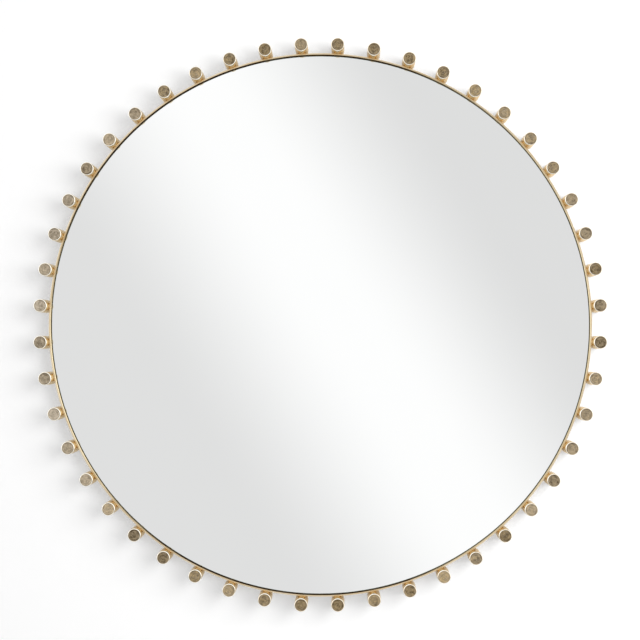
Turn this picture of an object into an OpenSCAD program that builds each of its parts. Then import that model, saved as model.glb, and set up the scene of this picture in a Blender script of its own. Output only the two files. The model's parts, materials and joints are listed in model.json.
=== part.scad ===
// Round wall mirror with a border of short round pegs set all round a flat bar ring.
// Origin: centre of the mirror on the wall plane. The glass faces -Y and +Z is up.
// Every piece is drawn lying on its back, with its depth measured from the wall along +Z,
// and on_wall() then stands it up.

/* [Ring] */
// Outside diameter of the ring that the pegs are set on
ring_d = 824; // [600:1:1000]
// Thickness of the flat bar that the ring is rolled from
ring_wall = 3; // [2:0.5:5]
// Depth of the ring from the wall to its front edge
ring_depth = 30; // [26:1:45]
// Rounding of the ring's front edge beside the glass
ring_inner_edge = 1.2; // [0.3:0.1:1.5]
// Rounding of the ring's other three edges
ring_edge = 0.5; // [0.2:0.1:0.5]

/* [Pegs] */
// Number of pegs around the ring
peg_count = 48; // [24:4:48]
// Diameter of a peg
peg_d = 20; // [12:0.5:28]
// Length of a peg from the wall to its front face
peg_len = 51; // [46:1:80]
// Rounding of a peg's two end edges
peg_edge = 1.1; // [0.4:0.1:2]
// Depth of the shallow dish turned into a peg's front face
peg_dish = 0.3; // [0.1:0.05:1]
// Rim left flat around the dish
peg_rim = 1.4; // [0.8:0.1:2.5]
// Gap left between a peg and the ring for the brazing metal
weld_gap = 0.1; // [0.05:0.05:0.3]

/* [Glass] */
// Thickness of the mirror glass
glass_t = 4; // [3:0.5:6]
// How far the glass is set back from the ring's front edge
glass_setback = 6; // [5:0.5:9]
// Gap around the edge of the glass
glass_gap = 0.5; // [0.5:0.1:2]
// Ground bevel that takes the sharpness off the edge of the glass
glass_arris = 0.5; // [0.2:0.1:1]
// Number of strips of foam tape behind the glass
tape_count = 5; // [3:1:9]
// Width of a strip of tape
tape_w = 25; // [12:1:50]
// Thickness of the tape
tape_t = 1; // [0.5:0.1:1.6]
// Distance that the tape keeps from the edge of the board
tape_margin = 30; // [10:1:60]

/* [Backing] */
// Thickness of the backing board
board_t = 9; // [8:0.5:9]
// Gap around the edge of the board
board_gap = 1.5; // [0.5:0.1:4]
// Number of tabs welded inside the ring
tab_count = 8; // [4:1:12]
// Width of a tab along the ring
tab_w = 26; // [18:1:40]
// Reach of a tab from the ring's inner face
tab_reach = 22; // [16:1:32]
// Thickness of a tab
tab_t = 2.5; // [1.5:0.5:3]

/* [Screws] */
// Diameter of a screw's shank
screw_d = 3.5; // [2.5:0.1:4]
// Length of a tab screw under its head
tab_screw_len = 8; // [6:0.5:10]
// Length of a hanger screw under its head
hanger_screw_len = 8; // [6:0.5:10]
// Diameter of a screw's head
head_d = 7; // [6:0.1:9]
// Height of a screw's head
head_h = 2.2; // [1.5:0.1:3]
// Width of one arm of the cross in a screw's head
cross_w = 1; // [0.6:0.1:1.5]
// Clearance between a screw and the hole it goes through
screw_gap = 0.1; // [0.05:0.05:0.3]

/* [Hangers] */
// Angle of each hanger above the mirror's centre line
hanger_angle = 40; // [25:1:60]
// Distance of each hanger from the ring's inner face
hanger_inset = 95; // [60:1:140]
// Width of a hanger's strap
strap_w = 14; // [12:1:16]
// Thickness of the sheet that a strap is folded from
strap_t = 1; // [0.8:0.1:1.2]
// Distance between the two screws of a strap
strap_pitch = 12; // [10:1:16]
// Distance from a strap's last screw to its rounded end
strap_end = 6; // [5:0.5:10]
// Diameter of the wire of a D-ring
wire_d = 3.2; // [2.6:0.2:3.4]
// Width of a D-ring between the centre lines of its two legs
dring_w = 25; // [24:1:32]
// Centre line radius of the D-ring's two corners
dring_bend = 3; // [2.5:0.5:4]
// Clearance around the wire in the strap's eye
eye_gap = 0.3; // [0.2:0.1:0.5]
// Clearance between a hanging D-ring and the strap below it
rest_gap = 0.4; // [0.3:0.1:0.6]

/* [Hidden] */
$fn = 96;
ring_r = ring_d / 2;
ring_in = ring_r - ring_wall;
peg_r = peg_d / 2;
peg_circle = ring_r + weld_gap + peg_r;
peg_step = 360 / peg_count;

// Depths from the wall
glass_front = ring_depth - glass_setback;
glass_back = glass_front - glass_t;
board_front = glass_back - tape_t;
board_back = board_front - board_t;
tab_back = board_back - tab_t;

// Radii of the round pieces
glass_r = ring_in - glass_gap;
board_r = ring_in - board_gap;
tape_r = board_r - tape_margin;
tape_step = 2 * tape_r / (tape_count + 1);

// Tabs sit between the hangers, the first half a step above the centre line
tab_step = 360 / tab_count;
tab_hole_r = ring_in - tab_reach / 2;
hole_r = screw_d / 2 + screw_gap;
pilot_extra = 0.5;

// A hanger: its eye is at the top and its strap lies flat on the board
wire_r = wire_d / 2;
eye_r = wire_r + eye_gap;
eye_out = eye_r + strap_t;
plate_t = 2 * strap_t;
hanger_r = ring_in - hanger_inset;
hanger_x = hanger_r * cos(hanger_angle);
hanger_y = hanger_r * sin(hanger_angle);
dring_r = dring_w / 2;
dring_reach = dring_bend + dring_r;
first_screw = dring_reach + wire_r + head_d / 2 + 2;
strap_len = first_screw + strap_pitch + strap_end;

// A hanging D-ring leans on its strap: the tilt at which its wire clears the plate
lean_at = dring_bend + sqrt(dring_r * dring_r - strap_w * strap_w / 4);
lean = asin((plate_t + rest_gap + wire_r - eye_out) / lean_at);

SIDES = ["left", "right"];
function side_of(name) = name == "left" ? -1 : 1;
function two_digits(n) = n < 10 ? str("0", n) : str(n);
function peg_name(n) = str("peg_", two_digits(n));
PEG_NODES = [for (n = [1 : peg_count]) peg_name(n)];
STRAP_NODES = [for (s = SIDES) str("hanger_strap_", s)];
DRING_NODES = [for (s = SIDES) str("hanger_ring_", s)];

// Stands a piece up against the wall: its depth from the wall then runs along -Y
module on_wall() {
    rotate([90, 0, 0]) children();
}

// Puts its children at one angle and radius around the mirror's centre
module around(angle, radius) {
    rotate(angle) translate([radius, 0, 0]) children();
}

// Half section of a round bar from the axis outwards, with its end edges rounded
module bar_section(r, length, edge) {
    square([r - edge, length]);
    translate([0, edge]) square([r, length - 2 * edge]);
    translate([r - edge, edge]) circle(edge);
    translate([r - edge, length - edge]) circle(edge);
}

// One peg: a round bar with rounded ends and a shallow dish turned into its front face
module peg(n) {
    dish_r = peg_r - peg_edge - peg_rim;
    color([0.62, 0.53, 0.38])
    on_wall()
    around((n - 0.5) * peg_step, peg_circle)
    difference() {
        rotate_extrude() bar_section(peg_r, peg_len, peg_edge);
        translate([0, 0, peg_len - peg_dish])
            cylinder(h = 2 * peg_dish, r1 = dish_r - peg_dish, r2 = dish_r + peg_dish);
    }
}

// The ring: flat bar rolled on edge, well rounded beside the glass and slightly elsewhere
module frame_ring() {
    inner_z = ring_depth - ring_inner_edge;
    outer_x = ring_wall - ring_edge;
    color([0.85, 0.73, 0.5])
    on_wall()
    rotate_extrude($fn = 360)
    translate([ring_in, 0]) {
        translate([ring_edge, 0]) square([outer_x - ring_edge, 2 * ring_edge]);
        translate([0, ring_edge]) square([ring_wall, inner_z - ring_edge]);
        translate([ring_inner_edge, ring_edge])
            square([ring_wall - ring_inner_edge, ring_depth - 2 * ring_edge]);
        translate([ring_inner_edge, ring_edge])
            square([outer_x - ring_inner_edge, ring_depth - ring_edge]);
        translate([ring_edge, ring_edge]) circle(ring_edge);
        translate([outer_x, ring_edge]) circle(ring_edge);
        translate([outer_x, ring_depth - ring_edge]) circle(ring_edge);
        translate([ring_inner_edge, inner_z]) circle(ring_inner_edge);
    }
}

// Eight steel tabs inside the ring that the board is screwed to from behind
module frame_tabs() {
    color([0.45, 0.42, 0.38])
    on_wall()
    for (k = [0 : tab_count - 1])
        rotate((k + 0.5) * tab_step)
        difference() {
            intersection() {
                translate([ring_in - tab_reach, -tab_w / 2, tab_back])
                    cube([tab_reach, tab_w, tab_t]);
                translate([0, 0, tab_back])
                    cylinder(h = tab_t, r = ring_in - weld_gap, $fn = 360);
            }
            translate([tab_hole_r, 0, tab_back - tab_t])
                cylinder(h = 3 * tab_t, r = hole_r);
        }
}

// The pane: flat, with a small ground arris at both edges
module mirror_glass() {
    color([0.9, 0.92, 0.93])
    on_wall()
    translate([0, 0, glass_back])
    rotate_extrude($fn = 360)
    polygon([
        [0, 0],
        [glass_r - glass_arris, 0],
        [glass_r, glass_arris],
        [glass_r, glass_t - glass_arris],
        [glass_r - glass_arris, glass_t],
        [0, glass_t]
    ]);
}

// Upright strips of double-sided foam tape, each as long as the board allows
module glass_tape() {
    color([0.2, 0.2, 0.2])
    on_wall()
    for (k = [1 : tape_count]) {
        x = k * tape_step - tape_r;
        edge_x = abs(x) + tape_w / 2;
        half = sqrt(max(tape_r * tape_r - edge_x * edge_x, tape_w * tape_w));
        translate([x - tape_w / 2, -half, board_front]) cube([tape_w, 2 * half, tape_t]);
    }
}

// The board behind the glass, with a blind pilot hole for every screw
module backing_board() {
    color([0.16, 0.14, 0.13])
    on_wall()
    difference() {
        translate([0, 0, board_back]) cylinder(h = board_t, r = board_r, $fn = 360);
        for (k = [0 : tab_count - 1])
            around((k + 0.5) * tab_step, tab_hole_r) pilot_hole(tab_screw_len - tab_t);
        for (s = SIDES)
            translate([side_of(s) * hanger_x, hanger_y, 0])
            for (y = [first_screw, first_screw + strap_pitch])
                translate([0, -y, 0]) pilot_hole(hanger_screw_len - plate_t);
    }
}

// A blind hole from the back of the board, a little deeper than the screw goes in
module pilot_hole(depth) {
    translate([0, 0, board_back - 1])
        cylinder(h = depth + pilot_extra + 1, r = hole_r, $fn = 32);
}

// A pan head screw seen from behind: its head's underside lies at the given depth
module screw(underside, length) {
    translate([0, 0, underside]) {
        cylinder(h = length, r = screw_d / 2, $fn = 32);
        difference() {
            union() {
                translate([0, 0, -head_h / 2]) cylinder(h = head_h / 2, r = head_d / 2, $fn = 48);
                translate([0, 0, -head_h])
                    cylinder(h = head_h / 2, r1 = head_d / 3, r2 = head_d / 2, $fn = 48);
            }
            for (a = [0, 90])
                rotate(a)
                translate([-head_d / 4, -cross_w / 2, -2 * head_h])
                cube([head_d / 2, cross_w, 1.6 * head_h]);
        }
    }
}

// One screw through each tab
module tab_screws() {
    color([0.75, 0.75, 0.75])
    on_wall()
    for (k = [0 : tab_count - 1])
        around((k + 0.5) * tab_step, tab_hole_r) screw(tab_back, tab_screw_len);
}

// Two screws through each strap
module hanger_screws() {
    color([0.75, 0.75, 0.75])
    on_wall()
    for (s = SIDES)
        translate([side_of(s) * hanger_x, hanger_y, 0])
        for (y = [first_screw, first_screw + strap_pitch])
            translate([0, -y, 0]) screw(board_back - plate_t, hanger_screw_len);
}

// Puts its children at a hanger's eye: Y runs up the board and Z out of its back
module at_hanger(side) {
    translate([side_of(side) * hanger_x, hanger_y, board_back]) mirror([0, 0, 1]) children();
}

// A strap folded double round the D-ring's wire, its lower end rounded
module hanger_strap(side) {
    color([0.8, 0.8, 0.78])
    on_wall()
    at_hanger(side)
    difference() {
        union() {
            // Eye and plate, as one section drawn in depth and height
            translate([-strap_w / 2, 0, 0])
            rotate([90, 0, 90])
            linear_extrude(strap_w)
            difference() {
                union() {
                    translate([0, eye_out]) circle(eye_out, $fn = 48);
                    translate([-(strap_len - strap_w / 2), 0])
                        square([strap_len - strap_w / 2, plate_t]);
                }
                translate([0, eye_out]) circle(eye_r, $fn = 48);
            }
            translate([0, -(strap_len - strap_w / 2), 0])
                cylinder(h = plate_t, r = strap_w / 2, $fn = 64);
        }
        for (y = [first_screw, first_screw + strap_pitch])
            translate([0, -y, -strap_t]) cylinder(h = plate_t + 2 * strap_t, r = hole_r, $fn = 32);
    }
}

// A D-ring hanging from its eye and leaning on the strap
module hanger_ring(side) {
    color([0.8, 0.8, 0.78])
    on_wall()
    at_hanger(side)
    translate([0, 0, eye_out])
    rotate([-lean, 0, 0])
    dring();
}

// The ring itself: a straight bar, two tight corners and a half round loop below them
module dring() {
    bar = 2 * (dring_r - dring_bend);
    translate([-bar / 2, 0, 0])
        rotate([0, 90, 0]) cylinder(h = bar, r = wire_r, $fn = 32);
    translate([bar / 2, -dring_bend, 0])
        rotate_extrude(angle = 90) translate([dring_bend, 0]) circle(wire_r, $fn = 32);
    translate([-bar / 2, -dring_bend, 0])
        rotate(90) rotate_extrude(angle = 90) translate([dring_bend, 0]) circle(wire_r, $fn = 32);
    translate([0, -dring_bend, 0])
        rotate(180) rotate_extrude(angle = 180) translate([dring_r, 0]) circle(wire_r, $fn = 32);
}

for (n = [1 : peg_count])
    peg(n);
frame_ring();
frame_tabs();
mirror_glass();
glass_tape();
backing_board();
tab_screws();
hanger_screws();
for (s = SIDES)
    hanger_strap(s);
for (s = SIDES)
    hanger_ring(s);
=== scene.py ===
# %% [markdown]
# This lesson dresses a round wall mirror. The real thing is a flat pane in a narrow metal hoop, with
# a border of 48 short round pegs brazed to the outside of the hoop and two D-ring hangers on its
# back. The construction is already modelled to size, so the first step loads it as a fixed frame.
# Every piece made below takes its size and place from that frame.

# %% Load the frame
import json
import math
import random

import bmesh
import bpy
from mathutils import Matrix, Vector


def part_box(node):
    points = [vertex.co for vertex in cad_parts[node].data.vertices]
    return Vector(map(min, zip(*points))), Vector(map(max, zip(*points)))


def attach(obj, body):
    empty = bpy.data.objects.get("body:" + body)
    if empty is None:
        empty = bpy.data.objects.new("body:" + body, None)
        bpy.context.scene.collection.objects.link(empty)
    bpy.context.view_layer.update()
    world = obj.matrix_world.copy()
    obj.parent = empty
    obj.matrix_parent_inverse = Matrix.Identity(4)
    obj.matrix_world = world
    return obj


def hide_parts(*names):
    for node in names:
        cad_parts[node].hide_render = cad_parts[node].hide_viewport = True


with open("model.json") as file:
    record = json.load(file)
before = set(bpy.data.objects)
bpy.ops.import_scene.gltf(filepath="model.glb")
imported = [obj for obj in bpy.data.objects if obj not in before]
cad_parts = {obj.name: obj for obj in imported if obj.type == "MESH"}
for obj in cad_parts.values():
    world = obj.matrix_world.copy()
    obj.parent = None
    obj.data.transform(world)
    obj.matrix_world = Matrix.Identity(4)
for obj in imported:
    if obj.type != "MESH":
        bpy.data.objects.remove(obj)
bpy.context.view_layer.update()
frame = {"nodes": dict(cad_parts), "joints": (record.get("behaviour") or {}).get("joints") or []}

# %% [markdown]
# The mirror hangs on a wall in the plane y = 0 and faces along -Y, so depth from the wall is -y.
# The hoop's radii and depth and the pegs' size are read from the frame. The small roundings can't be
# read from a box, so they are stated here, once, as on a drawing.

# %% Sizes of the hoop and the pegs
MM = 0.001
ring_low, ring_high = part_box("frame_ring")
ring_r = ring_high.x
ring_in = min(math.hypot(v.co.x, v.co.z) for v in frame["nodes"]["frame_ring"].data.vertices)
ring_depth = -ring_low.y
ring_edge = 0.5 * MM
ring_inner_edge = 1.2 * MM

peg_low, peg_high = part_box("peg_01")
peg_nodes = sorted(n for n in frame["nodes"] if n.startswith("peg_"))
peg_r = (peg_high.x - peg_low.x) / 2
peg_len = peg_high.y - peg_low.y
peg_edge = 1.1 * MM
peg_rim = 1.4 * MM
peg_dish = 0.3 * MM
print("ring radii", round(ring_r, 4), round(ring_in, 4), "depth", round(ring_depth, 4))
print("pegs", len(peg_nodes), "radius", round(peg_r, 4), "length", round(peg_len, 4))

# %% [markdown]
# A material is a small network of nodes. It can be wired by hand in the Shader Editor, but a network
# written as code can be read, repeated and changed in one place. Four helpers keep that code short.
# put places a node and fills or links its inputs, calc does a sum, between makes a smooth step, and
# tint blends two colours by a mask.

# %% Helpers for nodes
def put(tree, kind, inputs=(), **settings):
    made = tree.nodes.new("ShaderNode" + kind)
    for name, value in settings.items():
        setattr(made, name, value)
    pairs = inputs.items() if isinstance(inputs, dict) else enumerate(inputs)
    for key, value in pairs:
        if isinstance(value, bpy.types.NodeSocket):
            tree.links.new(value, made.inputs[key])
        else:
            made.inputs[key].default_value = value
    return made


def calc(tree, operation, *values):
    return put(tree, "Math", values, operation=operation).outputs[0]


def between(tree, value, low, high, to_low=0.0, to_high=1.0):
    """A smooth step of value from low to high."""
    ends = {"Value": value, "From Min": low, "From Max": high, "To Min": to_low, "To Max": to_high}
    return put(tree, "MapRange", ends, interpolation_type="SMOOTHSTEP").outputs[0]


def tint(tree, mask, low, high):
    """The colour low where mask is 0 and high where it is 1."""
    mixed = put(tree, "Mix", data_type="RGBA")
    for index, value in ((0, mask), (6, low), (7, high)):
        if isinstance(value, bpy.types.NodeSocket):
            tree.links.new(value, mixed.inputs[index])
        else:
            mixed.inputs[index].default_value = value
    return mixed.outputs[2]


print("node helpers ready")

# %% [markdown]
# Four effects return on several finishes. Their nodes could be copied into each material, but then
# each copy would have to be tuned alone, so each effect is a node group, a small network with named
# inputs and outputs. The first is a slow cloud, for tarnish that has settled more in one place than
# another. The second is a fine speck, for grain that is about as long as it is wide.

# %% Shared effects: cloud and speck
def new_group(name, inputs, outputs):
    tree = bpy.data.node_groups.new(name, "ShaderNodeTree")
    for label, value in inputs.items():
        kind = "NodeSocketVector" if value is None else "NodeSocketFloat"
        socket = tree.interface.new_socket(label, in_out="INPUT", socket_type=kind)
        if value is not None:
            socket.default_value = value
    for label in outputs:
        tree.interface.new_socket(label, in_out="OUTPUT", socket_type="NodeSocketFloat")
    start = tree.nodes.new("NodeGroupInput").outputs
    end = tree.nodes.new("NodeGroupOutput").inputs
    return tree, start, end


def noise_group(name, detail, contrast):
    tree, start, end = new_group(name, {"Place": None, "Size": 10 * MM, "Seed": 0.0}, ["Mask"])
    scale = calc(tree, "DIVIDE", 1.0, start["Size"])
    settings = {"Vector": start["Place"], "W": start["Seed"], "Scale": scale, "Detail": detail}
    noise = put(tree, "TexNoise", settings, noise_dimensions="4D")
    spread = between(tree, noise.outputs["Fac"], 0.5 - contrast, 0.5 + contrast)
    tree.links.new(spread, end["Mask"])
    return tree


cloud = noise_group("tarnish cloud", 3.0, 0.22)
speck = noise_group("fine speck", 2.0, 0.30)
print("groups", cloud.name, "and", speck.name)

# %% [markdown]
# The third effect is the mark of a tool that ran round or along the work: fine lines, irregular in
# strength, which barely change along their length. A wave texture would make them too regular, so it
# is noise stretched along the tool's path. The fourth is wear: polish that comes through along an
# edge, with a ragged border.

# %% Shared effects: tool lines and edge wear
tool_lines, start, end = new_group(
    "tool lines",
    {"Across": 0.0, "Along": 0.0, "Pitch": 1 * MM, "Reach": 50 * MM, "Seed": 0.0},
    ["Mask"],
)
across = calc(tool_lines, "DIVIDE", start["Across"], start["Pitch"])
along = calc(tool_lines, "DIVIDE", start["Along"], start["Reach"])
stretched = put(tool_lines, "CombineXYZ", [across, along, start["Seed"]]).outputs[0]
lines = put(tool_lines, "TexNoise", {"Vector": stretched, "Scale": 1.0, "Detail": 2.0})
tool_lines.links.new(between(tool_lines, lines.outputs["Fac"], 0.25, 0.75), end["Mask"])

edge_wear, start, end = new_group(
    "edge wear", {"Place": None, "From Edge": 0.0, "Width": 0.5 * MM, "Grain": 1 * MM}, ["Mask"]
)
grain = calc(edge_wear, "DIVIDE", 1.0, start["Grain"])
ragged = put(edge_wear, "TexNoise", {"Vector": start["Place"], "Scale": grain, "Detail": 3.0})
shift = calc(edge_wear, "MULTIPLY", calc(edge_wear, "SUBTRACT", ragged.outputs["Fac"], 0.5), 1.6)
worn = calc(edge_wear, "ADD", calc(edge_wear, "DIVIDE", start["From Edge"], start["Width"]), shift)
edge_wear.links.new(between(edge_wear, worn, 1.0, 0.0), end["Mask"])
print("groups", tool_lines.name, "and", edge_wear.name)

# %% [markdown]
# Tool lines need to know where they are on the work. A UV map could say so, but round work needs no
# unwrapping: its place is an angle and a distance. On the hoop both are measured from the mirror's
# centre. On a peg they are measured from the peg's own axis, which the Generated coordinates give,
# because they run from 0 to 1 across each object's own box.

# %% Where a point lies on round work
def polar(tree, x, z):
    """Distance out from the axis, and turn in radians, of a point (x, z)."""
    out = calc(tree, "SQRT", calc(tree, "ADD", calc(tree, "POWER", x, 2.0), calc(tree, "POWER", z, 2.0)))
    return out, calc(tree, "ARCTAN2", z, x)


hoop_place, start, end = new_group("place on the hoop", {"Place": None}, ["Out", "Around", "Depth"])
place = put(hoop_place, "SeparateXYZ", [start["Place"]]).outputs
out, turn = polar(hoop_place, place["X"], place["Z"])
hoop_place.links.new(out, end["Out"])
hoop_place.links.new(calc(hoop_place, "MULTIPLY", turn, ring_r), end["Around"])
hoop_place.links.new(calc(hoop_place, "MULTIPLY", place["Y"], -1.0), end["Depth"])

bar_place, start, end = new_group(
    "place on a bar", {"Share": None, "Width": 20 * MM, "Length": 50 * MM}, ["Out", "Around", "Depth"]
)
share = put(bar_place, "SeparateXYZ", [start["Share"]]).outputs
sides = [
    calc(bar_place, "MULTIPLY", calc(bar_place, "SUBTRACT", share[axis], 0.5), start["Width"])
    for axis in ("X", "Z")
]
out, turn = polar(bar_place, *sides)
bar_place.links.new(out, end["Out"])
bar_place.links.new(calc(bar_place, "MULTIPLY", turn, start["Width"]), end["Around"])
depth = calc(bar_place, "MULTIPLY", calc(bar_place, "SUBTRACT", 1.0, share["Y"]), start["Length"])
bar_place.links.new(depth, end["Depth"])
print("groups", hoop_place.name, "and", bar_place.name)

# %% [markdown]
# Each finish starts the same way: an empty material with one Principled BSDF, the shader that stands
# for nearly any solid surface. Values that are the same all over are set on the shader itself. Short
# helpers then place a shared effect, turn a height into a normal, and link what was worked out.
#
# Light that bounces from so much gold would turn the white wall yellow. A Light Path node tells when
# light is on its way to a matt surface, and calm gives it a plain grey to carry.

# %% Start a finish
def new_finish(name, **constants):
    made = bpy.data.materials.new(name)
    made.use_nodes = True
    tree = made.node_tree
    tree.nodes.clear()
    shader = put(tree, "BsdfPrincipled", {key.replace("_", " "): v for key, v in constants.items()})
    output = put(tree, "OutputMaterial", {"Surface": shader.outputs[0]})
    output.location = (300, 0)
    places = put(tree, "TexCoord").outputs
    return made, tree, shader.inputs, places


def use(tree, shared, **inputs):
    """Places a shared effect and returns its outputs."""
    named = {key.replace("_", " "): value for key, value in inputs.items()}
    return put(tree, "Group", named, node_tree=shared).outputs


def spots(tree, shared, place, size, seed=0.0):
    """The mask of the cloud or the speck, with spots of about this size."""
    return use(tree, shared, Place=place, Size=size, Seed=seed)["Mask"]


def relief(tree, height, depth, strength=1.0):
    """A normal that makes height, from 0 to 1, look depth metres high."""
    settings = {"Height": height, "Distance": depth, "Strength": strength}
    return put(tree, "Bump", settings).outputs[0]


def wire_up(tree, shader, colour, roughness, normal=None):
    """Links what was worked out to the shader's own sockets."""
    tree.links.new(colour, shader["Base Color"])
    tree.links.new(roughness, shader["Roughness"])
    if normal:
        tree.links.new(normal, shader["Normal"])


PLAIN_GREY = (0.62, 0.62, 0.62, 1.0)


def calm(tree, colour):
    """The colour, but a plain grey to light on its way to the wall, so the wall stays white."""
    for_wall = put(tree, "LightPath").outputs["Is Diffuse Ray"]
    return tint(tree, for_wall, colour, PLAIN_GREY)


print("finish helpers ready")

# %% [markdown]
# The hoop and the sides of the pegs have a thin plating of antique gold. It could be built up as a
# clear coat over brass, but the eye sees only the metal, so one metallic layer is enough. Metal goes
# white when it is seen along its length. Old plating doesn't quite, which is what Specular Tint is
# for. Polishing leaves fine lines that run round the hoop, and the cloud varies its tone.

# %% Finish: antique gold on the hoop
GOLD_BRIGHT = (0.85, 0.72, 0.52, 1.0)
GOLD_DEEP = (0.76, 0.60, 0.38, 1.0)
GOLD_GLANCING = (0.80, 0.65, 0.42, 1.0)

hoop_gold, tree, shader, places = new_finish(
    "antique gold hoop", Metallic=1.0, Specular_Tint=GOLD_GLANCING
)
at = use(tree, hoop_place, Place=places["Object"])
tarnish = spots(tree, cloud, places["Object"], 35 * MM)
polish = use(
    tree, tool_lines, Across=calc(tree, "ADD", at["Out"], at["Depth"]), Along=at["Around"],
    Pitch=0.35 * MM, Reach=20 * MM,
)["Mask"]
colour = calm(tree, tint(tree, tarnish, GOLD_BRIGHT, GOLD_DEEP))
satin = between(tree, polish, 0.0, 1.0, 0.12, 0.22)
wire_up(tree, shader, colour, satin, relief(tree, polish, 0.006 * MM))
print("finish", hoop_gold.name)

# %% [markdown]
# The inside of the hoop is a duller gold. It is painted dark brown at its top and its foot, both a
# little left of the middle, and faintly low on the right, and stays light at its sides: this is painted
# shade. It draws the thin line between the glass and the bright front edge.
#
# It could be painted on by hand, but three places given by angles are easier to move. How near a
# point is to such a place is a dot product of two directions, the point's and the place's.

# %% Finish: inside of the hoop, with painted shade
SHADE_AND_TARNISH_BROWN = (0.035, 0.020, 0.010, 1.0)
INNER_GOLD_LIGHT = (0.84, 0.72, 0.48, 1.0)
INNER_GLANCING = (0.66, 0.46, 0.22, 1.0)
# Degrees: the middle, counted from the right, how far the painted shade reaches, and how far it is full.
AT_TOP, AT_FOOT, LOW_RIGHT = (112, 80, 25), (262, 57, 14), (322, 48, 15)


def painted_shade_near(tree, place, middle, reach, full):
    """1 on the hoop within full degrees of the middle, and 0 from reach degrees away."""
    turn = math.radians(middle)
    toward = (math.cos(turn), 0.0, math.sin(turn))
    facing = put(tree, "VectorMath", [place, toward], operation="DOT_PRODUCT").outputs["Value"]
    low, high = (ring_in * math.cos(math.radians(angle)) for angle in (reach, full))
    return between(tree, facing, low, high)


hoop_brown, tree, shader, places = new_finish(
    "inside of the hoop, painted shade", Metallic=1.0, Specular_Tint=INNER_GLANCING
)
at = use(tree, hoop_place, Place=places["Object"])
above = painted_shade_near(tree, places["Object"], *AT_TOP)
below = painted_shade_near(tree, places["Object"], *AT_FOOT)
shade_low_right = calc(tree, "MULTIPLY", painted_shade_near(tree, places["Object"], *LOW_RIGHT), 0.4)
# Painted shade: the inside is painted darker at its top, its foot and low on the right.
shade_by_angle = calc(tree, "MAXIMUM", calc(tree, "MAXIMUM", above, below), shade_low_right)
streaks = use(
    tree, tool_lines, Across=at["Depth"], Along=at["Around"], Pitch=0.6 * MM, Reach=30 * MM, Seed=3.0
)["Mask"]
patches = spots(tree, cloud, places["Object"], 20 * MM)
uneven = calc(tree, "MULTIPLY", calc(tree, "SUBTRACT", patches, streaks), 0.18)
shade_and_tarnish = calc(tree, "ADD", shade_by_angle, uneven)
colour = calm(tree, tint(tree, shade_and_tarnish, INNER_GOLD_LIGHT, SHADE_AND_TARNISH_BROWN))
dull = between(tree, shade_and_tarnish, 0.0, 1.0, 0.22, 0.42)
wire_up(tree, shader, colour, dull, relief(tree, streaks, 0.01 * MM))
print("finish", hoop_brown.name)

# %% [markdown]
# The side of a peg is the same gold, polished while it turned, so its fine lines run round the bar.
# The gold is painted deeper towards the wall, and deepest in the crevice between hoop and peg: painted
# shade. It is painted pale on the rounded front edge, partly wear and partly a painted highlight, and
# on the strip in front of the hoop, which is a painted highlight.
#
# Some pegs are painted paler than others, most of all those on the left: painted light. A material for
# each would be 48 materials, so each peg object carries a few numbers of its own instead, and an
# Attribute node reads them. One of them says how much paler the gold is painted.

# %% Finish: gold sides of the pegs
PALE_WEAR_AND_LIGHT = (0.97, 0.94, 0.86, 1.0)
CREVICE_SHADE = (0.46, 0.30, 0.13, 1.0)


def own_number(tree, name):
    return put(tree, "Attribute", attribute_type="OBJECT", attribute_name=name).outputs["Fac"]


peg_gold, tree, shader, places = new_finish(
    "antique gold peg sides", Metallic=1.0, Specular_Tint=GOLD_GLANCING
)
at = use(tree, bar_place, Share=places["Generated"], Width=2 * peg_r, Length=peg_len)
tarnish = spots(tree, cloud, places["Object"], 12 * MM)
turned = use(
    tree, tool_lines, Across=at["Depth"], Along=at["Around"], Pitch=0.5 * MM, Reach=30 * MM, Seed=5.0
)["Mask"]
# Painted shade: the gold is painted deeper towards the wall.
shade_toward_wall = between(tree, at["Depth"], 4 * MM, 36 * MM, 0.75, 0.0)
gold = tint(tree, calc(tree, "MULTIPLY_ADD", tarnish, 0.45, shade_toward_wall), GOLD_BRIGHT, GOLD_DEEP)
painted_pale = own_number(tree, "painted_pale")
# Painted light: the pegs on the left are painted paler.
gold = tint(tree, calc(tree, "MULTIPLY", painted_pale, 0.8), gold, PALE_WEAR_AND_LIGHT)
# Partly wear, partly painted highlight: the rounded front edge is painted pale.
wear_and_highlight = use(
    tree, edge_wear, Place=places["Object"], From_Edge=calc(tree, "SUBTRACT", peg_len, at["Depth"]),
    Width=1.1 * peg_edge, Grain=2 * MM,
)["Mask"]
from_hoop = calc(tree, "SUBTRACT", use(tree, hoop_place, Place=places["Object"])["Out"], ring_r)
beside_hoop = between(tree, at["Depth"], ring_depth - 1 * MM, ring_depth + 0.5 * MM, 1.0, 0.0)
# Painted shade in the crevice between hoop and peg, weaker on the paler pegs.
crevice = between(tree, from_hoop, 3 * MM, 6.5 * MM, 1.0, 0.0)
crevice_shade = calc(tree, "MULTIPLY", crevice, beside_hoop)
crevice_shade = calc(tree, "MULTIPLY", crevice_shade, calc(tree, "MULTIPLY_ADD", painted_pale, -0.9, 1.0))
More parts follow.
